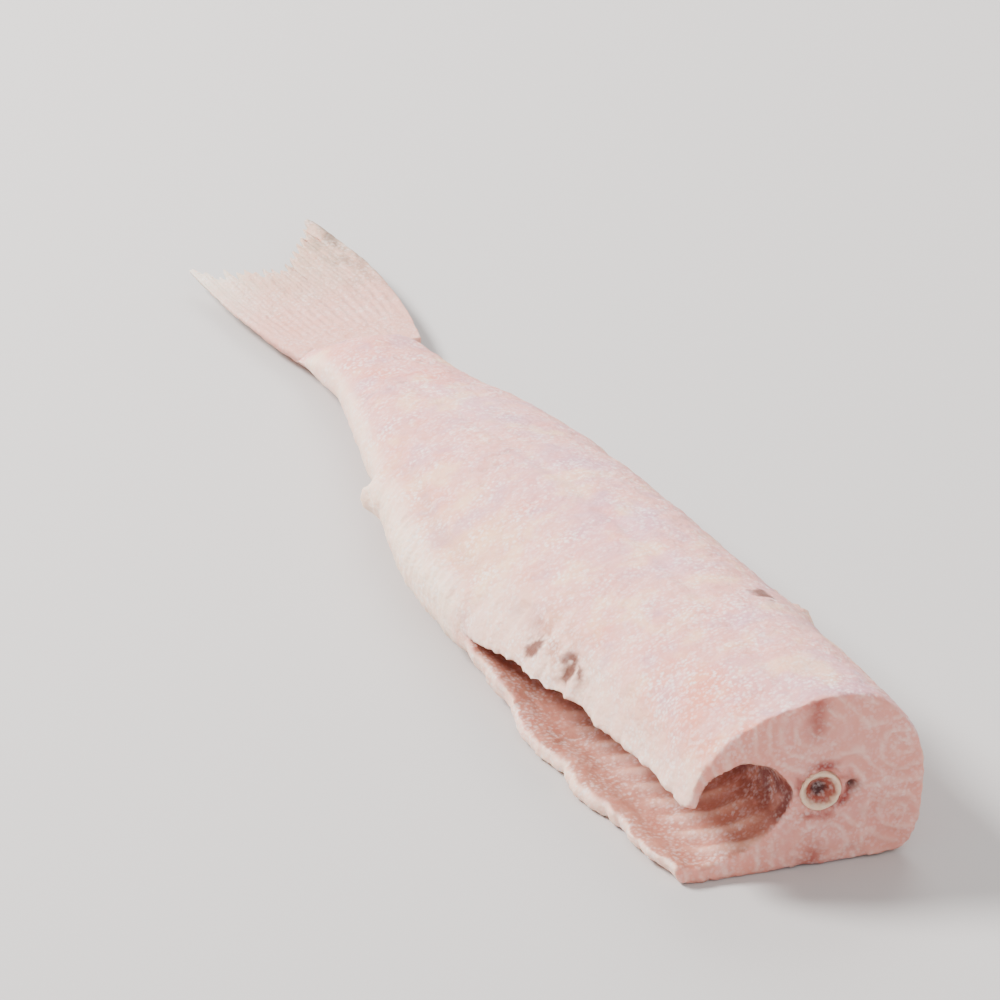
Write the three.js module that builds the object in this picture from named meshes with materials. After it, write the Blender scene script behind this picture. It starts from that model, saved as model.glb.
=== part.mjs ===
// A dressed catfish, as sold frozen: head, skin and guts removed, tail fin left on, lying on its left flank.
// Millimetres. +X points out of the neck cut, +Y to the back, +Z up through the right flank.
// The origin is at the middle of the underside of the whole fish.
import * as THREE from "three";
import { mergeVertices } from "three/addons/utils/BufferGeometryUtils.js";

// ---- Driving sizes ----
const BODY_LENGTH = 238; // end of the flesh at the tail fin to the neck cut, along the backbone
const NECK_SLANT = 7; // how much further the back reaches than the belly at the neck cut

const ROOT_DEPTH = 28; // back to belly where the flesh ends on the tail fin
const ROOT_THICKNESS = 5;
const STALK_DEPTH = 25; // the narrowest of the tail stalk
const STALK_THICKNESS = 11;
const TRUNK_DEPTH = 56; // the deepest of the body, just in front of the vent
const TRUNK_THICKNESS = 35;
const NECK_DEPTH = 51;
const NECK_THICKNESS = 40;

const CAVITY_LENGTH = 100; // neck cut to the rear end of the gutted belly
const CAVITY_ROOF = 1.5; // how far the roof lies under the axis, below the backbone
const FLANK_WALL = 10; // flesh beside the roof of the cavity
const FLAP_THICKNESS = 4.6; // the belly flaps at their cut edges
const LOWER_FLAP_REACH = 2; // how far the flap underneath sticks out of the belly line
const UPPER_FLAP_LOSS = 5; // how much the flap on top falls short of it

const FIN_RIDGE = 2.2; // the stub of the trimmed anal fin, standing out of the belly line
const SPINE_STUB = 2.6; // the one ray left in front of it
const BACK_STUB = 2.4; // the stub of the trimmed dorsal fin

const FLATTENED = 3.6; // how deep the freezer belt has flattened the lower flank
const SOFT_EDGE = 2.8; // rounding where the flattened face meets the flank
const FLAP_DROP = 7.5; // how far the belly edge sinks under its own weight before it freezes
const TAIL_LIFT = 1.5; // underside of the tail stalk above the surface

const BACK_LOBE = 58; // tail fin, root to the tip of the back lobe
const BELLY_LOBE = 50;
const FORK_RAYS = 39; // the short middle rays
const FIN_ROOT_DEPTH = 29; // a little more than the flesh, so that its first rays stand out as a step
const FIN_SPREAD = 32; // tip to tip
const FIN_BOW = 5; // how far the back edge of the fin swells out
const FIN_RISE = 5.2; // root of the fin's middle ray above the axis
const FORK_RISE = 1.2; // its end, in the fork, above the axis
const FIN_ROOT_THICKNESS = 3.4;
const FIN_EDGE_THICKNESS = 1.2;
const FIN_CURL = 4; // how far the tip of the back lobe lifts
const GAP = 0.3; // between the flesh and the fin's root

const ALONG = 56; // facets along and around the body
const AROUND = 38;

// ---- Outline of the body ----
// Each row: share of the way from the fin (0) to the neck (1), then back height, belly height and thickness.
const { lerp, smoothstep, clamp } = THREE.MathUtils;
const depth = (share) => lerp(STALK_DEPTH, TRUNK_DEPTH, share);
const thick = (share) => lerp(STALK_THICKNESS, TRUNK_THICKNESS, share);
const OUTLINE = [
  [0.0, 0.62 * ROOT_DEPTH, 0.38 * ROOT_DEPTH, ROOT_THICKNESS],
  [0.07, 0.62 * STALK_DEPTH, 0.38 * STALK_DEPTH, STALK_THICKNESS],
  [0.16, 0.61 * depth(0.14), 0.42 * depth(0.14), thick(0.16)],
  [0.27, 0.59 * depth(0.5), 0.45 * depth(0.5), thick(0.42)],
  [0.37, 0.54 * depth(0.78), 0.47 * depth(0.78), thick(0.64)],
  [0.5, 0.48 * depth(0.95), 0.5 * depth(0.95), thick(0.86)],
  [0.66, 0.47 * TRUNK_DEPTH, 0.53 * TRUNK_DEPTH, TRUNK_THICKNESS],
  [0.84, 0.47 * TRUNK_DEPTH, 0.5 * TRUNK_DEPTH, lerp(TRUNK_THICKNESS, NECK_THICKNESS, 0.6)],
  [1.0, 0.5 * NECK_DEPTH, 0.5 * NECK_DEPTH, NECK_THICKNESS],
];
const outline = new THREE.CubicInterpolant(
  OUTLINE.map((row) => row[0]),
  OUTLINE.flatMap((row) => row.slice(1)),
  3,
);

function sizesAt(share) {
  const [back, belly, thickness] = outline.evaluate(clamp(share, 0, 1));
  return { back, belly, thickness };
}

// ---- The cross-section as it lies on the surface ----
const EGG = { tail: 0.1, neck: 0.32 }; // how much thicker the back is than the belly
const cavityStart = 1 - CAVITY_LENGTH / BODY_LENGTH;
const slitEnd = (share) => smoothstep(share, cavityStart, cavityStart + 0.2);
const hump = (share, middle, reach) => Math.exp(-(((share - middle) / reach) ** 2));

// Half the thickness beside height v, from -1 on the belly line to 1 on the back.
function halfThickness(share, v) {
  const egg = lerp(EGG.tail, EGG.neck, smoothstep(share, 0.1, 0.7));
  const blunt = v < 0 ? lerp(2.2, 4, slitEnd(share)) : 2.2;
  const full = Math.max(0, 1 - Math.abs(v) ** blunt) ** (1 / blunt);
  return 0.5 * sizesAt(share).thickness * full * (1 + egg * v);
}

// Height of the mid surface between the two flanks.
function midHeight(share, v) {
  const lift = lerp(TAIL_LIFT, -FLATTENED, smoothstep(share, 0.08, 0.5));
  const drop = v < 0 ? smoothstep(share, 0.25, 0.85) : 0.2 * smoothstep(share, 0.1, 0.6);
  return lift + 0.5 * sizesAt(share).thickness - FLAP_DROP * drop * v * v;
}

// Flat on the surface, easing into the flank.
function rested(z) {
  if (z > SOFT_EDGE) return z;
  return z < -SOFT_EDGE ? 0 : (z + SOFT_EDGE) ** 2 / (4 * SOFT_EDGE);
}

// The neck cut leans with the height y on the body.
const stationX = (share, y) => BODY_LENGTH * share + (NECK_SLANT * y * share ** 4) / NECK_DEPTH;

// The outside. turn runs from -PI, the belly line, under the lower flank and over the upper one to PI.
function outsidePoint(share, turn) {
  const { back, belly } = sizesAt(share);
  const v = Math.sign(Math.cos(turn)) * Math.abs(Math.cos(turn)) ** 0.8;
  const side = Math.sin(turn);
  const z = midHeight(share, v) + Math.sign(side) * halfThickness(share, v);
  if (v > 0) {
    const y = v * back + BACK_STUB * hump(share, 0.76, 0.03) * smoothstep(v, 0.8, 1);
    return new THREE.Vector3(stationX(share, y), y, rested(z));
  }
  const under = smoothstep(-side, -0.4, 0.4);
  const loss = UPPER_FLAP_LOSS * hump(share, 0.88, 0.13);
  const flap = slitEnd(share) * lerp(-loss, LOWER_FLAP_REACH * hump(share, 0.8, 0.15), under);
  const ridge = FIN_RIDGE * hump(share, 0.48, 0.13) ** 2 + SPINE_STUB * hump(share, 0.34, 0.013);
  const y = v * belly - smoothstep(-v, 0.55, 1) * flap - smoothstep(-v, 0.85, 1) * ridge;
  return new THREE.Vector3(stationX(share, y), y, rested(z));
}

// ---- The gutted belly ----
// A groove that opens out of the belly line. share of it: 0 behind its rear end, 1 where it is full size.
const grooved = (share) => Math.sqrt(clamp((share - cavityStart) / 0.13, 0, 1));
const FLAP_END = 0.1; // share of each half turn that the cut end of a flap takes up

// The wall of the cavity. turn runs from -1, the lower flap, past the roof at 0, to 1, the upper flap.
function insidePoint(share, turn) {
  const { belly } = sizesAt(share);
  const v = -lerp(CAVITY_ROOF / belly, 1, Math.abs(turn));
  const inside = Math.max(-0.9, v);
  const wall = lerp(FLANK_WALL, FLAP_THICKNESS, smoothstep(-inside, 0.1, 0.8));
  const arch = Math.sin(0.5 * Math.PI * Math.min(1, Math.abs(turn) / 0.4)) ** 0.7;
  const width = Math.max(0.8, halfThickness(share, inside) - wall) * arch;
  const flap = turn > 0 ? -UPPER_FLAP_LOSS * hump(share, 0.88, 0.13) * slitEnd(share) : 0;
  const y = v * belly - smoothstep(Math.abs(turn), 0.55, 1) * flap;
  return new THREE.Vector3(stationX(share, y), y, midHeight(share, inside) + Math.sign(turn) * width);
}

// The flesh is a slab bent round into a C: across it from the inside to the outside, up it round the fish.
function fleshPoint(across, up, along) {
  const open = grooved(along);
  const outside = outsidePoint(along, Math.PI * (1 - FLAP_END * open) * up);
  return across > 0 ? outside : outsidePoint(along, Math.PI).lerp(insidePoint(along, up), open);
}

// ---- The tail fin ----
// u runs from the root (0) to the ragged edge (1), v from the belly lobe (-1) to the back lobe (1).
function finPoint(u, v, side) {
  const lobe = v > 0 ? BACK_LOBE : BELLY_LOBE;
  const reach = lerp(FORK_RAYS, lobe, Math.abs(v) ** 1.6);
  const middle = lerp(FIN_RISE, FORK_RISE, u);
  const spread = 0.5 * lerp(FIN_ROOT_DEPTH, FIN_SPREAD, u) * v;
  const bow = FIN_BOW * Math.sin(Math.PI * u) * (v > 0 ? v : 0.25 * v);
  const thickness = lerp(FIN_ROOT_THICKNESS, FIN_EDGE_THICKNESS, u) * lerp(1, 0.7, v * v);
  const curl = FIN_CURL * u * u * lerp(0.2, 1, (v + 1) / 2);
  const z = midHeight(0, 0) + curl + side * thickness;
  return new THREE.Vector3(-GAP - reach * u, middle + spread + bow, z);
}

// ---- Making the pieces ----
// Moves each corner of a divided box, then joins the corners that now meet and drops closed-up facets.
function bent(box, place) {
  const position = box.getAttribute("position");
  for (let i = 0; i < position.count; i++) {
    position.setXYZ(i, ...place(position.getX(i), position.getY(i), position.getZ(i)));
  }
  box.deleteAttribute("normal");
  box.deleteAttribute("uv");
  const shape = mergeVertices(box, 1e-3);
  const corners = [...shape.index.array];
  const facets = Array.from({ length: corners.length / 3 }, (_, i) => corners.slice(3 * i, 3 * i + 3));
  shape.setIndex(facets.filter((facet) => new Set(facet).size === 3).flat());
  shape.computeVertexNormals();
  return shape;
}

function named(name, shape, color, roughness) {
  const mesh = new THREE.Mesh(shape, new THREE.MeshStandardMaterial({ color, roughness, metalness: 0 }));
  mesh.name = name;
  return mesh;
}

const flesh = new THREE.BoxGeometry(2, 2, 1, 1, AROUND, ALONG);
const body = bent(flesh, (across, up, along) => fleshPoint(across, up, along + 0.5));

const rays = new THREE.BoxGeometry(1, 2, 1, 14, 24, 1);
const tailFin = bent(rays, (along, up, side) => finPoint(0.5 - along, up, side));

const catfish = new THREE.Group();
catfish.add(named("body", body, "#e3cdca", 0.62), named("tail_fin", tailFin, "#dccbc2", 0.55));
const bounds = new THREE.Box3().setFromObject(catfish);
const middle = bounds.getCenter(new THREE.Vector3());
catfish.position.set(-middle.x, -middle.y, -bounds.min.z);

export default catfish;
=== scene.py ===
# %% [markdown]
# # A dressed catfish, frozen stiff
# The fish has no head, skin or guts. What is left is one trunk of pale flesh with its belly slit open
# from the vent to the neck, and the tail fin. It lies on its left flank, as it froze on the belt.
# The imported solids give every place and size, so the first thing to do is to load them.

import math

import bpy
import numpy as np
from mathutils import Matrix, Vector, noise


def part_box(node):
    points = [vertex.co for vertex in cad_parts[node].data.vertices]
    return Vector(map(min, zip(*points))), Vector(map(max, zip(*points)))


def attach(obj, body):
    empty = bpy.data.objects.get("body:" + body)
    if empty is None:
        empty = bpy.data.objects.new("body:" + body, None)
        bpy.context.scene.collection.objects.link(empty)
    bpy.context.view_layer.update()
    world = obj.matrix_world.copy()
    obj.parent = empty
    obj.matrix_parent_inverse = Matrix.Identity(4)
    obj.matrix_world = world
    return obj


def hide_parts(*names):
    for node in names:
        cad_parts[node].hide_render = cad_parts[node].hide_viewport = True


MM = 0.001
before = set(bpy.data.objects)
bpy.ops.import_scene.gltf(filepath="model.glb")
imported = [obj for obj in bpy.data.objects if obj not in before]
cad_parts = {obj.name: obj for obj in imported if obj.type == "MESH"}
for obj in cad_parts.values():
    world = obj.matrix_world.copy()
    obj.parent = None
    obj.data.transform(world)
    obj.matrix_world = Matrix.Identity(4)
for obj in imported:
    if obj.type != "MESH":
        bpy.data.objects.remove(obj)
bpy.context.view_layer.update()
body_low, body_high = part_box("body")
fin_low, fin_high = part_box("tail_fin")
print("flesh from", [round(v / MM, 1) for v in body_low], "to", [round(v / MM, 1) for v in body_high], "mm")

# %% [markdown]
# ## The room
# A pale sweep of floor and soft light from the upper left, from a little behind the fish. A long lens
# stands well back, so that the tail and the neck keep their true proportions.

# %% Floor, camera and lights
TARGET = Vector((0.004, 0.0, 0.012))
AZIMUTH, ELEVATION, DISTANCE = 66.5, 27.6, 1.33
LENS = 228


def towards(azimuth, elevation):
    a, e = math.radians(azimuth), math.radians(elevation)
    return Vector((math.sin(a) * math.cos(e), -math.cos(a) * math.cos(e), math.sin(e)))


def area_light(name, azimuth, elevation, distance, size, watts, colour):
    bpy.ops.object.light_add(type="AREA", location=TARGET + towards(azimuth, elevation) * distance)
    lamp = bpy.context.object
    lamp.name = name
    lamp.data.shape = "DISK"
    lamp.data.size = size
    lamp.data.energy = watts
    lamp.data.color = colour
    lamp.rotation_euler = (-towards(azimuth, elevation)).to_track_quat("-Z", "Y").to_euler()


bpy.ops.object.camera_add(location=TARGET + towards(AZIMUTH, ELEVATION) * DISTANCE)
camera = bpy.context.object
camera.rotation_euler = (-towards(AZIMUTH, ELEVATION)).to_track_quat("-Z", "Y").to_euler()
camera.data.lens = LENS
bpy.context.scene.camera = camera

area_light("key", AZIMUTH - 108, 42, 1.5, 0.5, 62, (1.0, 0.98, 0.96))
area_light("fill", AZIMUTH + 25, 38, 1.8, 1.6, 9, (1.0, 0.985, 0.98))
area_light("back", AZIMUTH + 170, 40, 1.6, 1.0, 16, (1.0, 0.985, 0.98))

bpy.ops.mesh.primitive_plane_add(size=8, location=(0, 0, 0))
floor = bpy.context.object
floor.name = "floor"
paper = bpy.data.materials.new("backdrop paper")
paper.use_nodes = True
paper_shader = paper.node_tree.nodes["Principled BSDF"]
paper_shader.inputs["Base Color"].default_value = (0.53, 0.512, 0.503, 1)
paper_shader.inputs["Roughness"].default_value = 0.9
floor.data.materials.append(paper)

world = bpy.data.worlds.new("room")
world.use_nodes = True
background = world.node_tree.nodes["Background"]
background.inputs["Color"].default_value = (1.0, 0.98, 0.97, 1)
background.inputs["Strength"].default_value = 0.8
bpy.context.scene.world = world
print("camera", DISTANCE, "m away through a", LENS, "mm lens, with three lights")

# %% [markdown]
# ## The flesh, blocked out
# The trunk could be drawn out of a circle, one ring after another. Its solid is already that, bent round
# the open belly, so a copy of it is the blank: facets joined into quads, rims creased so that the neck
# cut stays sharp, then two rounds of subdivision for a smooth skin.
# A voxel remesh then gives small even squares everywhere. Carving needs them, because a vertex can only
# be moved where there is one.

# %% A smooth blank of the flesh
VOXEL = 0.72 * MM


def only(piece):
    bpy.ops.object.select_all(action="DESELECT")
    piece.select_set(True)
    bpy.context.view_layer.objects.active = piece


def finish_modifiers(piece):
    only(piece)
    for modifier in list(piece.modifiers):
        bpy.ops.object.modifier_apply(modifier=modifier.name)


def copy_of_solid(node, name):
    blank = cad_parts[node].copy()
    blank.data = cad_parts[node].data.copy()
    blank.parent = None
    blank.name = blank.data.name = name
    blank.data.materials.clear()
    bpy.context.scene.collection.objects.link(blank)
    only(blank)
    bpy.ops.object.mode_set(mode="EDIT")
    bpy.ops.mesh.select_all(action="SELECT")
    bpy.ops.mesh.remove_doubles(threshold=0.002 * MM)
    bpy.ops.mesh.tris_convert_to_quads(face_threshold=math.radians(60), shape_threshold=math.radians(60))
    bpy.ops.mesh.select_all(action="DESELECT")
    bpy.ops.mesh.edges_select_sharp(sharpness=math.radians(50))
    bpy.ops.transform.edge_crease(value=0.85)
    bpy.ops.object.mode_set(mode="OBJECT")
    return blank


flesh = copy_of_solid("body", "flesh")
flesh.modifiers.new("smooth skin", "SUBSURF").levels = 2
flesh.modifiers["smooth skin"].render_levels = 2
grid = flesh.modifiers.new("even squares", "REMESH")
grid.mode = "VOXEL"
grid.voxel_size = VOXEL
finish_modifiers(flesh)
print("flesh blank:", len(flesh.data.vertices), "vertices,", 2 * len(flesh.data.polygons), "triangles at most")

# %% [markdown]
# ## Reading and moving the skin
# Carving by hand is a brush that pushes the skin in or out. The same can be done in code: read every
# vertex and its normal, work out how far each should move from where it is, then write them back.
# The places are in millimetres, because that is how one thinks of a fish this size.

# %% Helpers for carving
AXIS_Y = 0.54  # the backbone's place across the fish
NECK_X = body_high[0] / MM
ROOT_X = fin_high[0] / MM  # where the tail fin starts
STRIP_START, STRIP_END = -20, 50  # the strip of the trimmed anal fin


def neck_cut(y):
    """The x of the sawn face, which leans forward from the belly to the back."""
    return NECK_X - 6.5 + 0.137 * (y + 22)


def skin_of(piece):
    """The vertices in mm, and their normals."""
    count = len(piece.data.vertices)
    places, normals = np.empty(3 * count), np.empty(3 * count)
    piece.data.vertices.foreach_get("co", places)
    piece.data.vertices.foreach_get("normal", normals)
    return places.reshape(-1, 3) / MM, normals.reshape(-1, 3)


def write_skin(piece, places):
    piece.data.vertices.foreach_set("co", (places * MM).ravel())
    piece.data.update()


def step(value, start, end):
    """0 before start, 1 after end, and a soft slope between."""
    t = np.clip((value - start) / (end - start), 0, 1)
    return t * t * (3 - 2 * t)


def hump(value, middle, reach):
    """1 at middle, falling to a third at reach on both sides."""
    return np.exp(-(((value - middle) / reach) ** 2))


def lumps(places, size, octaves=3, seed=0):
    """Smooth noise from about -1 to 1, whose lumps are about size mm across."""
    away = Vector((seed * 7.31, seed * 3.17, seed * 5.83))
    return np.array([noise.fractal(Vector(p) / size + away, 0.7, 2.1, octaves) for p in places])


# %% [markdown]
# The edges of the two belly flaps still show the facets of the blank as small even scallops. A smooth
# modifier takes most of that off, held to the flaps by a vertex group. The tears are carved later.

# %% Smoothing the flap edges
blank_x, blank_y, _ = skin_of(flesh)[0].T
flap_weight = step(blank_x, 42, 50) * (1 - step(blank_x, 134, 142)) * step(-blank_y, 13, 18)
on_flaps = np.nonzero(flap_weight > 0.01)[0]
flap_group = flesh.vertex_groups.new(name="flap edges")
for index in on_flaps:
    flap_group.add([int(index)], float(flap_weight[index]), "REPLACE")
smoother = flesh.modifiers.new("smooth flaps", "SMOOTH")
smoother.factor = 0.5
smoother.iterations = 10
smoother.vertex_group = "flap edges"
finish_modifiers(flesh)
print("smoothed", len(on_flaps), "vertices of the flaps")

# %% [markdown]
# ## Where things are on the fish
# Masks say how much each vertex belongs to a region, from 0 to 1: the wall of the gutted belly, the neck
# cut, the edges of the two flaps, the strip where the anal fin was trimmed off. The strip follows the
# belly line and the stumps of the back fin follow the back line, so those two lines are found first.

# %% Regions of the flesh
CAVITY_X = 46.0  # rear end of the belly slit
CAVITY_Y = -12.0  # middle of the gutted belly


def outlines(places):
    """How far each vertex is, in mm, from the belly line and from the back line at its own station."""
    first, spacing = -92, 3.0
    stations = np.arange(first, 153, spacing)
    station = np.clip(np.round((places[:, 0] - first) / spacing).astype(int), 0, len(stations) - 1)
    lowest, highest = np.zeros(len(stations)), np.zeros(len(stations))
    np.minimum.at(lowest, station, places[:, 1])
    np.maximum.at(highest, station, places[:, 1])
    belly_line = np.interp(places[:, 0], stations, lowest)
    back_line = np.interp(places[:, 0], stations, highest)
    return places[:, 1] - belly_line, back_line - places[:, 1]


def regions(places, normals, from_belly):
    x, y, z = places.T
    cavity_z = 12.5 + 0.02 * (x - 60)
    to_middle = np.stack([0 * x, CAVITY_Y - y, cavity_z - z], 1)
    distance = np.linalg.norm(to_middle, axis=1)
    facing = np.einsum("ij,ij->i", to_middle / distance[:, None], normals)
    inside = step(facing, -0.15, 0.25) * step(x, CAVITY_X - 3, CAVITY_X + 2) * step(-y, -1.5, -0.5)
    neck = step(normals[:, 0], 0.55, 0.85) * step(x, neck_cut(y) - 3.0, neck_cut(y) - 1.2)
    return {
        "inside": inside * (1 - neck),
        "neck": neck,
        "outside": (1 - inside) * (1 - neck),
        "belly": step(-y, 12, 24),
        "back": step(y, 14, 26),
        "flaps": step(x, CAVITY_X, CAVITY_X + 8) * step(-y, 16, 22),
        "fin_strip": step(5.5 - from_belly, 0, 2.5) * step(x, STRIP_START, -14) * (1 - step(x, 40, STRIP_END)),
    }


places, normals = skin_of(flesh)
from_belly, from_back = outlines(places)
region = regions(places, normals, from_belly)
print({name: round(float(mask.mean()), 3) for name, mask in region.items()})

# %% [markdown]
# ## Carving the flesh
# Frozen flesh is never smooth. Slow dents come from lying against other fish, small lumps from the ice,
# and faint chevrons are the sheets between the muscle blocks, drawn forward at the middle of the flank.
# A shallow line runs along that middle, where the upper and lower muscles meet.

# %% Dents, lumps and chevrons
x, y, z = places.T  # these three look into places, so they follow when the skin moves
BLOCK_LENGTH = 3.7  # from one sheet between the muscle blocks to the next
flank = y - AXIS_Y
from_side = np.abs(z - 7 - 10 * step(x, -80, 40)) + 4
around = 17 * np.arctan2(flank, from_side)  # mm round the fish from the middle of either flank
fold = 9 * np.abs(np.abs(around / 11) - 0.9) - 4 * hump(around, 0, 4)
block = (x + fold + 2.4 * lumps(places, 17, 2, 5)) / BLOCK_LENGTH
chevrons = hump((block % 1) - 0.5, 0, 0.16)
faint = 0.5 + 0.5 * lumps(places, 22, 2, 6)

along = [0.22, 1, 1]  # squeezing x draws the noise out along the fish, like muscle fibres
fibres = lumps(places * along, 2.0, 3, 4)
push = 0.75 * lumps(places, 34, 2, 1)
push += 0.32 * lumps(places, 9, 3, 2)
push += 0.13 * lumps(places, 2.2, 2, 3)
push += region["outside"] * 0.14 * fibres
sheet_ends = region["outside"] * chevrons * np.clip(faint, 0, 1) * step(x, -80, -40)
sheet_ends *= (1 - region["flaps"]) * (1 - 0.7 * region["back"])
push -= 0.25 * sheet_ends
mid_line = 1.5 + 2.0 * np.sin(x / 40)
push -= region["outside"] * 0.36 * hump(flank, mid_line, 1.5) * step(x, -75, -50)

# %% [markdown]
# Here and there the flesh has a small dent, mostly on the tail stalk and behind the middle; its floor is
# later given painted shade. They come where one noise is highest, so they are few and have no pattern.

# %% Small dents
dents = region["outside"] * step(lumps(places, 5, 2, 25), 0.45, 0.8) * step(z, 8, 12)
dents *= np.maximum(hump(x, -62, 20), 0.8 * hump(x, 2, 22))
push -= 0.4 * dents

# %% [markdown]
# The trimmed anal fin leaves a raised strip with the stumps of its rays across it. The back fin, cut off
# further forward, leaves a few coarse stumps. Both are ridges a couple of millimetres apart.

# %% Stumps of the trimmed fins
RAY_SPACING = 2.6
GROOVE = 7.0  # from the belly line to the groove above the strip
stumps = 0.5 + 0.5 * np.sin(2 * math.pi * (x + 0.35 * y) / RAY_SPACING + 1.5 * lumps(places, 8, 1, 7))
push += region["fin_strip"] * (0.5 + 0.35 * stumps + 0.35 * lumps(places, 3, 2, 8))
push -= 0.5 * hump(from_belly, GROOVE, 1.2) * step(x, STRIP_START, -12) * (1 - step(x, 40, STRIP_END))
last_ray = hump(x, -9.5, 1.8) * step(2.0 - from_belly, 0, 1.6)
places[:, :2] -= last_ray[:, None] * [2.4, 1.0]
back_stub = hump(x, 91, 10) * step(4.0 - from_back + 1.5 * lumps(places, 5, 2, 10), 0, 2)
push += back_stub * (0.6 + 0.9 * stumps + 0.6 * lumps(places, 3.5, 2, 9))

# %% [markdown]
# The belly wall is lined by a thin skin over the ribs. They run down from the backbone and lean back
# towards the tail. At the roof lies the furrow of the blood line, and the flap edges are torn, not cut.

# %% Ribs, blood line and torn flaps
RIB_SPACING = 6.4
rib = (x - 0.75 * y) / RIB_SPACING
rib_mask = region["inside"] * hump((rib % 1) - 0.5, 0, 0.2) * step(-y, 2, 8) * (1 - step(-y, 15, 20))
push += 0.6 * rib_mask
blood_line = region["inside"] * hump(y, -1.5, 2.6)
push -= 0.5 * blood_line

torn = lumps(places * [1, 0.3, 0.3], 13, 4, 11)
edge = region["flaps"] * step(-y, 18, 24)
places[:, 1] += edge * np.clip(1.9 * torn + 0.5, -0.3, 2.6)

# %% [markdown]
# The head was sawn off. The cut shows the muscle blocks end on, as rings round the backbone, each sheet
# between them standing a hair above the soft muscle, and the whole face a little uneven.
# At the other end the flesh thins out over the roots of the tail's rays, with an uneven edge.

# %% The neck cut
BONE_Y, BONE_Z = AXIS_Y + 4.5, 16.5
MUSCLES = ((16, 7.5), (16, -6.5), (0, 13.5), (0, -11.5))  # middles of the four muscles, from the bone
RING_SPACING = 3.1
radius = np.hypot(y - BONE_Y, z - BONE_Z)
waver = 1.7 * lumps(places, 10, 2, 13) + 0.5 * lumps(places, 3, 2, 15)
from_muscles = np.array([np.hypot(y - BONE_Y - a, 1.15 * (z - BONE_Z - b)) for a, b in MUSCLES])
nearest = -1.4 * np.log(np.exp(-from_muscles / 1.4).sum(0)) + waver
sheets = hump((nearest / RING_SPACING % 1) - 0.5, 0, 0.13) * step(radius, 4.5, 6.5)
sheets *= step(lumps(places, 5, 2, 16), -0.9, 0.2)
wall_line = hump(z + 0.3 * waver, BONE_Z, 0.45) * step(y, BONE_Y + 8, BONE_Y + 9)
red_muscle = hump(y + 0.5 * waver, BONE_Y - 1.5, 2.2) * step(np.abs(z - BONE_Z), 9, 15)
canal = hump(y, BONE_Y + 6.4, 1.2) * hump(z, BONE_Z, 1.2)
push += region["neck"] * (0.34 * sheets + 0.45 * lumps(places, 5, 3, 14) - 2.4 * canal)
push -= region["neck"] * 4.4 * step(4.1 - radius, 0, 0.7)  # a pit for the sawn backbone

# %% [markdown]
# All the pushes are now added up and given to the skin at once. The blank had the outline of the solid,
# so bumps could stand out of it. A soft limit presses them back, without cutting them off flat.

# %% Moving the skin
PROUD, EASE = 0.6, 1.6  # how far bumps may stand out of the solid's box, and how early they are slowed


def eased(value, limit, ease):
    """Value where it is well below limit, and never more than limit: what nears it is flattened softly."""
    over = np.maximum(value - (limit - ease), 0)
    return np.minimum(value, limit - ease) + ease * (1 - np.exp(-over / ease))


thin_end = 1 - step(x, -91, -82)  # where the flesh runs out over the fin's rays
push -= 0.8 * thin_end
places[:, 0] += thin_end * (1.2 + 1.8 * lumps(places * [0, 1, 0.3], 5, 3, 17))
places += push[:, None] * normals
low_mm, high_mm = np.array(body_low) / MM, np.array(body_high) / MM
places[:, 1] = eased(places[:, 1], high_mm[1] + PROUD, EASE)
places[:, 1] = -eased(-places[:, 1], PROUD - low_mm[1], EASE)
places[:, 2] = np.maximum(eased(places[:, 2], high_mm[2] + PROUD, EASE), 0)
places[:, 0] = np.clip(places[:, 0], low_mm[0], high_mm[0])
write_skin(flesh, places)
print("carved between", push.min().round(2), "and", push.max().round(2), "mm")

# %% [markdown]
# ## Colours laid on the skin
# The flesh is palest lavender on the flank, cream along the belly, pinker near the neck, and brownish
# pink inside. Colour that follows the anatomy is stored on the vertices, as a painter would block it in,
# and the material adds the fine grain and frost on top. The colour's fourth number, which would be its
# opacity, is free, so it says how much frost may lie there.

# %% Helpers for painting


def linear(*srgb):
    """A colour given as 0 to 255 on a screen, as the light values that Blender counts in."""
    return np.array([(v / 255 / 12.92) if v < 11 else ((v / 255 + 0.055) / 1.055) ** 2.4 for v in srgb])


def lay(colour, over, mask):
    """Lays one more colour over what is there, as thickly as the mask says."""
    return colour + (np.array(over) - colour) * np.clip(mask, 0, 1)[:, None]


def store_tint(piece, tint, frost):
    layer = piece.data.color_attributes.new("tint", "FLOAT_COLOR", "POINT")
    layer.data.foreach_set("color", np.column_stack([tint, frost]).ravel())
    print(piece.name, "mean colour", tint.mean(0).round(2), "mean frost", round(float(np.mean(frost)), 2))


# %% [markdown]
# The outside comes first, from the broad colours to the small ones. Patches of lavender, cream and pink
# come from noise of three sizes, so that no colour lies evenly.

# %% The flanks and the belly
PALE_FLESH, STALK, LAVENDER = linear(235, 168, 157), linear(232, 156, 144), linear(214, 168, 184)
CREAM, YELLOWISH, PINK = linear(242, 190, 160), linear(242, 194, 148), linear(236, 148, 128)
# DENT_SHADE is painted shade for the floors of the dents
SHEET, NEAR_NECK, DENT_SHADE = linear(226, 150, 138), linear(234, 142, 114), linear(168, 112, 104)
PALE_LAVENDER, PALE_CREAM = linear(200, 150, 168), linear(250, 206, 166)

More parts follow.
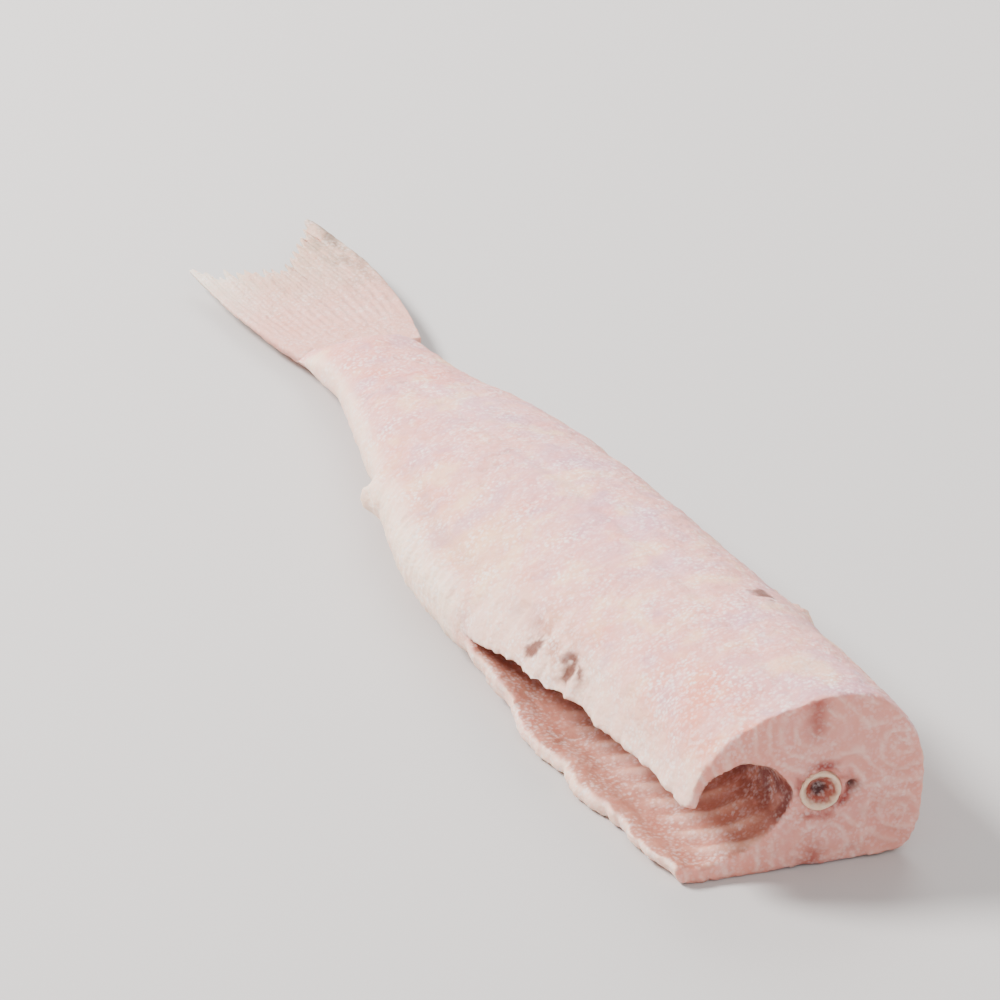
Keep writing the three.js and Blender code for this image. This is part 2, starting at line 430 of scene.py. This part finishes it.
patch = 0.5 + 0.5 * lumps(places, 16, 3, 21)
fine = 0.5 + 0.5 * lumps(places, 4, 3, 22)
mottle = 0.5 + 0.5 * lumps(places, 7, 3, 23)
dapple = lumps(places, 8, 3, 24)
tint = np.tile(PALE_FLESH, (len(places), 1))
tint = lay(tint, STALK, 0.7 * (1 - step(x, -75, -15)))
tint = lay(tint, LAVENDER, 0.9 * hump(flank, 6, 12) * step(patch, 0.3, 0.8) * step(x, -70, -20))
tint = lay(tint, CREAM, region["belly"] * (0.35 + 0.65 * fine))
tint = lay(tint, YELLOWISH, 0.8 * hump(x, 34, 16) * hump(flank, -17, 7) * mottle)
tint = lay(tint, PINK, 0.65 * step(patch, 0.55, 0.95))
tint = lay(tint, SHEET, 0.5 * sheet_ends)
tint = lay(tint, PALE_LAVENDER, 0.5 * region["outside"] * step(dapple, 0.1, 0.7))
tint = lay(tint, PALE_CREAM, 0.6 * region["outside"] * step(-dapple, 0.1, 0.7))
# painted shade on the floor of each dent
tint = lay(tint, DENT_SHADE, 0.6 * dents)
tint = lay(tint, NEAR_NECK, 0.85 * step(x, 96, 132) * hump(flank, -13, 9) * step(mottle, 0.25, 0.75))

# %% [markdown]
# Fat is whiter than muscle. It shows on the strip of the anal fin and on the stumps of the back fin. The pale
# line along the belly and the pale rims of the belly flaps that face the light are painted highlight, and the
# groove above the strip and the gaps between the stumps get painted shade.

# %% The pale edges, with painted highlight and painted shade
# the belly edge and flap rim colours are painted highlight; the groove and between-stumps colours are painted
# shade
STRIP, BELLY_EDGE_HIGHLIGHT, FLAP_RIM_HIGHLIGHT = linear(248, 208, 188), linear(254, 224, 200), linear(248, 210, 190)
GROOVE_SHADE, STUB, SHADE_BETWEEN_STUMPS = linear(206, 160, 140), linear(248, 206, 182), linear(186, 108, 88)

strip_tint = region["fin_strip"] * step(x + 8 * patch, -16, 10)
tint = lay(tint, STRIP, 0.9 * np.maximum(strip_tint, last_ray))
# painted highlight along the belly line, on the edge turned to the key light
belly_edge_highlight = hump(from_belly, 0.8, 1.7) * step(x, -90, -82) * (1 - step(x, 44, 52))
tint = lay(tint, BELLY_EDGE_HIGHLIGHT, 0.75 * belly_edge_highlight)
# painted shade in the groove above the strip
groove_shade = hump(from_belly, GROOVE, 1.3) * step(x, STRIP_START, 0) * (1 - step(x, 40, STRIP_END))
tint = lay(tint, GROOVE_SHADE, 0.35 * groove_shade)
tint = lay(tint, STUB, 0.8 * back_stub)
# painted shade in the gaps between the stumps
tint = lay(tint, SHADE_BETWEEN_STUMPS, 0.6 * back_stub * step(1 - stumps, 0.5, 0.9) * step(fine, 0.3, 0.6))
# painted highlight on the flap rims that face the key light
lit_flap_rim = region["flaps"] * region["outside"] * step(-normals[:, 1], 0.45, 0.85)
tint = lay(tint, FLAP_RIM_HIGHLIGHT, 0.8 * lit_flap_rim)

# %% [markdown]
# Inside, the belly wall is brownish pink, with paler ribs and dark blood at the roof. The neck cut is
# clean muscle: pale sheets between the rings, red muscle at the middle of each flank, and blood round
# the bone and in the canal above it.

# %% The belly wall and the neck cut
WALL, RIB, BLOOD = linear(174, 110, 92), linear(222, 170, 148), linear(112, 46, 38)
MUSCLE, PALE_SHEET, RED_MUSCLE = linear(224, 152, 138), linear(244, 214, 202), linear(158, 72, 60)
BONE_BLOOD, CANAL = linear(142, 52, 46), linear(60, 22, 22)

tint = lay(tint, WALL, region["inside"] * (0.75 + 0.25 * fine))
tint = lay(tint, RIB, 0.75 * rib_mask)
tint = lay(tint, BLOOD, blood_line * step(fine, 0.1, 0.6))
tint = lay(tint, MUSCLE, region["neck"] * (0.7 + 0.3 * fine))
tint = lay(tint, PALE_SHEET, region["neck"] * 0.5 * np.maximum(sheets, wall_line))
tint = lay(tint, RED_MUSCLE, region["neck"] * 0.8 * red_muscle)
tint = lay(tint, BONE_BLOOD, region["neck"] * hump(radius, 5.2, 1.3) * step(fine, 0.3, 0.8))
tint = lay(tint, CANAL, region["neck"] * canal)

# %% [markdown]
# Three dark spots are where fins were cut away: one beside the back fin's stub, and the two pelvic fins,
# one in front of the other, near the edge of the upper belly flap. Noise eats into their edges.
# Frost hardly takes on the spots, the neck cut and the belly wall, and thins out in patches elsewhere.

# %% Marks of the cut fins
SMEAR, MARK = linear(180, 108, 82), linear(104, 50, 30)
upper_side = step(z, 9.5, 12)
speckle = 0.25 + 1.5 * fine
back_mark = hump(x, 99, 5.5) * hump(y, 14.8, 2.4) * upper_side
near_pelvic = hump(x, 76, 4.5) * hump(y, -23.4, 1.9) * upper_side
far_pelvic = hump(x, 89, 5.5) * hump(y, -21.8, 1.7) * upper_side
marks = np.maximum(np.maximum(near_pelvic, 0.85 * far_pelvic), 0.9 * back_mark)
smear = hump(x, 80, 12) * hump(y, -21.5, 4) * upper_side
tint = lay(tint, SMEAR, 0.75 * smear * step(fine, 0.25, 0.65))
dark_marks = step(marks * speckle, 0.34, 0.72)
tint = lay(tint, MARK, 0.96 * dark_marks)
bare = step(lumps(places, 11, 3, 26), 0.0, 0.7) * region["outside"]
frost_share = 1 - 0.6 * region["neck"] - 0.5 * region["inside"] - 0.95 * dark_marks
frost_share = np.clip(frost_share - 0.3 * np.maximum(bare, dents), 0.05, 1)
store_tint(flesh, tint, frost_share)

# %% [markdown]
# ## Frozen flesh, the material
# Flesh lets light in and gives it back redder, which is what subsurface scattering does. Dry frost on it
# is whiter, rougher and grainy. One pattern of grains decides where frost lies, and drives the colour, the
# roughness and the bump together, because on the real thing they are the same grains of ice.

# %% Helpers for materials


def new_material(name):
    material = bpy.data.materials.new(name)
    material.use_nodes = True
    return material, material.node_tree, material.node_tree.nodes["Principled BSDF"]


def add_noise(tree, vector, scale, detail=4.0, rough=0.55):
    node = tree.nodes.new("ShaderNodeTexNoise")
    node.inputs["Scale"].default_value = scale
    node.inputs["Detail"].default_value = detail
    node.inputs["Roughness"].default_value = rough
    tree.links.new(vector, node.inputs["Vector"])
    return node.outputs["Fac"]


def add_range(tree, value, from_low, from_high, to_low=0.0, to_high=1.0):
    node = tree.nodes.new("ShaderNodeMapRange")
    node.inputs["From Min"].default_value = from_low
    node.inputs["From Max"].default_value = from_high
    node.inputs["To Min"].default_value = to_low
    node.inputs["To Max"].default_value = to_high
    tree.links.new(value, node.inputs["Value"])
    return node.outputs["Result"]


def add_mix(tree, blend, factor, first, second):
    node = tree.nodes.new("ShaderNodeMix")
    node.data_type = "RGBA"
    node.blend_type = blend
    for socket, value in (("Factor", factor), ("A", first), ("B", second)):
        target = next(s for s in node.inputs if s.name == socket and (socket == "Factor" or s.type == "RGBA"))
        if isinstance(value, bpy.types.NodeSocket):
            tree.links.new(value, target)
        else:
            target.default_value = value
    return next(s for s in node.outputs if s.type == "RGBA")


def add_math(tree, operation, first, second):
    node = tree.nodes.new("ShaderNodeMath")
    node.operation = operation
    for i, value in enumerate((first, second)):
        if isinstance(value, bpy.types.NodeSocket):
            tree.links.new(value, node.inputs[i])
        else:
            node.inputs[i].default_value = value
    return node.outputs["Value"]


# %% [markdown]
# The grains and the ice crystals are mixed once, and give both the specks of frost and the rough skin.
# A second, broader noise leaves some places with less frost than others.

# %% Grains of ice
ICE_WHITE = (0.96, 0.86, 0.84, 1)
PINKER = (0.96, 0.72, 0.67, 1)
BLOTCHES, FROST_PATCHES, GRAINS, CRYSTALS = 110, 160, 900, 1100  # how many to a metre


def add_frost(tree, place, grains, crystals, share, amount):
    """How much frost lies at each spot, from 0 to amount."""
    specks = add_math(tree, "MULTIPLY", crystals, -0.4)
    speckled = add_math(tree, "ADD", add_math(tree, "MULTIPLY", grains, 0.8), specks)
    dense = add_range(tree, speckled, 0.16, 0.34)
    patches = add_range(tree, add_noise(tree, place, FROST_PATCHES, 3), 0.3, 0.65)
    frost = add_range(tree, add_math(tree, "MULTIPLY", dense, patches), 0, 1, 0, amount)
    return add_math(tree, "MULTIPLY", frost, share)


def add_rough_skin(tree, shader, grains, crystals, share):
    """Bump from the same grains, shallower where little frost may lie."""
    bump = tree.nodes.new("ShaderNodeBump")
    bump.inputs["Distance"].default_value = 0.5 * MM
    tree.links.new(add_range(tree, share, 0.4, 1, 0.3, 0.8), bump.inputs["Strength"])
    ice = add_math(tree, "MULTIPLY", crystals, 0.35)
    height = add_math(tree, "ADD", add_math(tree, "MULTIPLY", grains, 0.9), ice)
    tree.links.new(height, bump.inputs["Height"])
    tree.links.new(bump.outputs["Normal"], shader.inputs["Normal"])


# %% [markdown]
# The whole material is the painted colour, made pinker in soft blotches, with the frost's white over it.
# Frost also makes the surface duller, so the same value drives the roughness.

# %% The frozen materials


def frozen(name, frost_amount, wetness=0.0):
    material, tree, shader = new_material(name)
    place = tree.nodes.new("ShaderNodeTexCoord").outputs["Object"]
    painted = tree.nodes.new("ShaderNodeAttribute")
    painted.attribute_name = "tint"
    grains = add_noise(tree, place, GRAINS, 5, 0.75)
    voronoi = tree.nodes.new("ShaderNodeTexVoronoi")
    voronoi.inputs["Scale"].default_value = CRYSTALS
    tree.links.new(place, voronoi.inputs["Vector"])
    crystals = voronoi.outputs["Distance"]

    blotches = add_range(tree, add_noise(tree, place, BLOTCHES, 3), 0.35, 0.7)
    pink_amount = add_range(tree, blotches, 0, 1, 0, 0.35)
    pinker = add_mix(tree, "MULTIPLY", pink_amount, painted.outputs["Color"], PINKER)
    frost = add_frost(tree, place, grains, crystals, painted.outputs["Alpha"], frost_amount)
    whitened = add_mix(tree, "MIX", frost, pinker, ICE_WHITE)
    tree.links.new(whitened, shader.inputs["Base Color"])
    tree.links.new(add_range(tree, frost, 0, 1, 0.5 - wetness, 0.85 - wetness), shader.inputs["Roughness"])
    shader.inputs["Specular IOR Level"].default_value = 0.42
    shader.inputs["Subsurface Weight"].default_value = 0.32
    shader.inputs["Subsurface Radius"].default_value = (1.0, 0.42, 0.32)
    shader.inputs["Subsurface Scale"].default_value = 2.2 * MM
    add_rough_skin(tree, shader, grains, crystals, painted.outputs["Alpha"])
    print("material", name, "with", len(tree.nodes), "nodes")
    return material


flesh.data.materials.append(frozen("frozen flesh", 0.72))
only(flesh)
bpy.ops.object.shade_smooth()
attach(flesh, "root")
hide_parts("body")

# %% [markdown]
# ## The sawn backbone
# In the cut the backbone is a round bone, hollow on its face like a shallow cup, with dark marrow in the
# middle. A short cylinder does it: its end face is inset for the rim, and inset and pushed in for the cup.

# %% The end of the backbone
NECK_LEAN = math.atan2(7, 51)
BONE_RADIUS, BONE_DEPTH = 4.3, 4.0
bpy.ops.object.select_all(action="DESELECT")
bpy.ops.mesh.primitive_cylinder_add(
    vertices=48,
    radius=BONE_RADIUS * MM,
    depth=BONE_DEPTH * MM,
    location=((neck_cut(BONE_Y) - 1.7) * MM, BONE_Y * MM, BONE_Z * MM),
    rotation=(0, math.radians(90), 0),
)
bone = bpy.context.object
bone.name = bone.data.name = "backbone_end"
bpy.ops.object.transform_apply(location=False, rotation=True, scale=True)
bone.rotation_euler = (0, 0, -NECK_LEAN)
bpy.ops.object.transform_apply(location=True, rotation=True, scale=True)
bpy.ops.object.mode_set(mode="EDIT")
bpy.ops.mesh.select_all(action="DESELECT")
bpy.ops.object.mode_set(mode="OBJECT")
for face in bone.data.polygons:
    face.select = face.normal.x > 0.9
bpy.ops.object.mode_set(mode="EDIT")
bpy.ops.mesh.inset(thickness=0.8 * MM)  # the rim
for inset, sink in ((0.5, 0.9), (1.2, 0.8), (1.0, 0.8)):  # the cup, in three rings
    bpy.ops.mesh.inset(thickness=inset * MM)
    bpy.ops.transform.translate(value=(-sink * MM, 0, 0))
bpy.ops.object.mode_set(mode="OBJECT")
bone.modifiers.new("round", "SUBSURF").levels = 2
bone.modifiers["round"].render_levels = 2
finish_modifiers(bone)

# %% [markdown]
# Bone isn't smooth where a saw went through it, so it gets fine lumps. The rim is ivory, the cup red with
# blood, and the marrow in the middle nearly black.

# %% The bone's colours
IVORY, CUP, MARROW = linear(236, 204, 176), linear(160, 80, 64), linear(70, 18, 18)

bone_places, bone_normals = skin_of(bone)
bone_places += (0.16 * lumps(bone_places, 1.4, 2, 31))[:, None] * bone_normals
write_skin(bone, bone_places)
from_middle = np.hypot(bone_places[:, 1] - BONE_Y, bone_places[:, 2] - BONE_Z)
bone_fine = 0.5 + 0.5 * lumps(bone_places, 1.2, 2, 32)
bone_tint = np.tile(IVORY, (len(bone_places), 1))
bone_tint = lay(bone_tint, CUP, step(3.2 - from_middle + 0.6 * bone_fine, 0.1, 1.0))
bone_tint = lay(bone_tint, MARROW, step(1.7 - from_middle + 0.8 * bone_fine, 0.1, 1.2))
store_tint(bone, bone_tint, np.ones(len(bone_tint)))
bone.data.materials.append(frozen("frozen bone", 0.25, 0.1))
only(bone)
bpy.ops.object.shade_smooth()
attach(bone, "root")

# %% [markdown]
# ## The tail fin
# A fin is a fan of bony rays with a thin web between them. A flat grid is the start: its rows are laid
# along the rays, longer towards the two lobes, then it is given thickness. The rays fork towards their
# ends and the web between them is torn, so the edge is ragged.

# %% The fin's grid and its rays
BACK_LOBE, BELLY_LOBE, FORK = 58.0, 50.0, 39  # lengths of the rays: at the two tips and in the fork
RAYS = 8.5  # on each side of the middle ray, before they fork in two
bpy.ops.object.select_all(action="DESELECT")
bpy.ops.mesh.primitive_grid_add(x_subdivisions=90, y_subdivisions=120, size=2)
fin = bpy.context.object
fin.name = fin.data.name = "tail_fin_rays"
spots = skin_of(fin)[0] * MM
u, v = 0.5 - 0.5 * spots[:, 0], spots[:, 1]
lobe = np.where(v > 0, BACK_LOBE, BELLY_LOBE)
reach = FORK + (lobe - FORK) * np.abs(v) ** 1.6
wander = np.array([noise.noise(Vector((a * 2, b * 9, 1.7))) for a, b in zip(u, v)])
ray = 0.5 + 0.5 * np.cos(2 * math.pi * (v * RAYS + 0.12 * wander))
fine_ray = 0.5 + 0.5 * np.cos(2 * math.pi * (v * 2 * RAYS + 0.2 * wander))
torn_edge = np.array([noise.fractal(Vector((b * 7.5, 3.1, 0.4)), 0.6, 2.2, 4) for b in v])
tips = 1 - 0.75 * step(np.abs(v), 0.8, 1)
reach = reach * (1 - tips * step(u, 0.5, 1) * (0.07 * (1 - ray) + 0.1 * np.clip(torn_edge, 0, 1)))

# %% [markdown]
# Seen from above the fan is a little wider at its tips than at its root, and its back edge swells. Seen
# from the side it curls up and ripples, as a wet fin does when it freezes.

# %% The fin's shape
ROOT_WIDTH, TIP_WIDTH = 29, 32
ROOT_RISE, FORK_RISE = 5.2, 1.2  # the middle ray, above the backbone
FIN_Z, BOW, CURL = 4.0, 5, 4
INSET = 5.0  # how far the rays run into the flesh

middle = ROOT_RISE + (FORK_RISE - ROOT_RISE) * u + AXIS_Y
tucked_in = 1.6 * step(-v, 0.4, 1) * (1 - u) ** 3  # the belly corner of the root, drawn in under the flesh
spread = 0.5 * (ROOT_WIDTH + (TIP_WIDTH - ROOT_WIDTH) * u) * v + tucked_in
bow = BOW * np.sin(math.pi * u) * np.where(v > 0, v, 0.25 * v)
curl = CURL * u * u * (0.2 + 0.4 * (v + 1))
ripple = 0.35 * np.sin(5 * v + 3 * u) * u + 0.3 * wander * u
fan_x = ROOT_X + INSET - (reach + INSET) * u
write_skin(fin, np.stack([fan_x, middle + spread + bow, FIN_Z + curl + ripple], 1))

# %% [markdown]
# A solidify modifier gives the thickness, led by a vertex group: thick at the root, thin at the tips, and
# thicker on each ray than on the web between. The rays stay faint near the root, where flesh covers them.

# %% The fin's thickness
thick = 1.1 + 2.0 * (1 - step(u, 0.0, 0.75))
half = 0.5 * thick * (1 - 0.25 * v * v)
bared, forked = step(u, 0.12, 0.45), step(u, 0.45, 0.7)
half *= 1 - 0.28 * bared + 0.28 * bared * (ray * (1 - forked) + fine_ray * forked)
half *= 1 - 0.45 * step(u, 0.9, 1)
weights = fin.vertex_groups.new(name="thickness")
full = half.max()
for index, value in enumerate(half / full):
    weights.add([index], float(value), "REPLACE")
shell = fin.modifiers.new("thickness", "SOLIDIFY")
shell.thickness = 2 * full * MM
shell.offset = 0
shell.vertex_group = "thickness"
finish_modifiers(fin)
print("tail fin:", len(fin.data.vertices), "vertices")

# %% [markdown]
# The fin's base is covered by the same pale flesh as the tail stalk. Out towards the tips the web is
# yellower. The back lobe keeps some dark skin near its tip, and the belly lobe is nearly white.

# %% Colours and material of the fin
fin_places, fin_normals = skin_of(fin)
fin_places += (0.18 * lumps(fin_places, 3, 3, 41))[:, None] * fin_normals
fin_high_mm = np.array(fin_high) / MM + [INSET + 1, 0, 0]
fin_places = np.clip(fin_places, np.array(fin_low) / MM, fin_high_mm)
write_skin(fin, fin_places)
FIN_FLESH, WEB, FIN_PINK = linear(232, 174, 158), linear(208, 184, 158), linear(222, 160, 140)
DARK_TIP, WHITE_TIP = linear(104, 88, 76), linear(240, 226, 212)

out = step(ROOT_X - fin_places[:, 0], 8, 50)
fin_fine = 0.5 + 0.5 * lumps(fin_places * [0.4, 1, 1], 3, 3, 42)
on_back_lobe = step(fin_places[:, 1], 10, 20)
on_belly_lobe = step(-fin_places[:, 1], 2, 12)
fin_tint = np.tile(FIN_FLESH, (len(fin_places), 1))
fin_tint = lay(fin_tint, WEB, out * (0.5 + 0.5 * fin_fine))
fin_tint = lay(fin_tint, DARK_TIP, 0.75 * out * on_back_lobe * step(fin_fine, 0.2, 0.8))
fin_tint = lay(fin_tint, WHITE_TIP, 0.7 * out * on_belly_lobe)
fin_tint = lay(fin_tint, FIN_PINK, (1 - out) * step(fin_fine, 0.5, 0.9) * 0.6)
store_tint(fin, fin_tint, np.ones(len(fin_tint)))
fin.data.materials.append(frozen("frozen fin", 0.45))
only(fin)
bpy.ops.object.shade_smooth()
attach(fin, "root")
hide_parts("tail_fin")
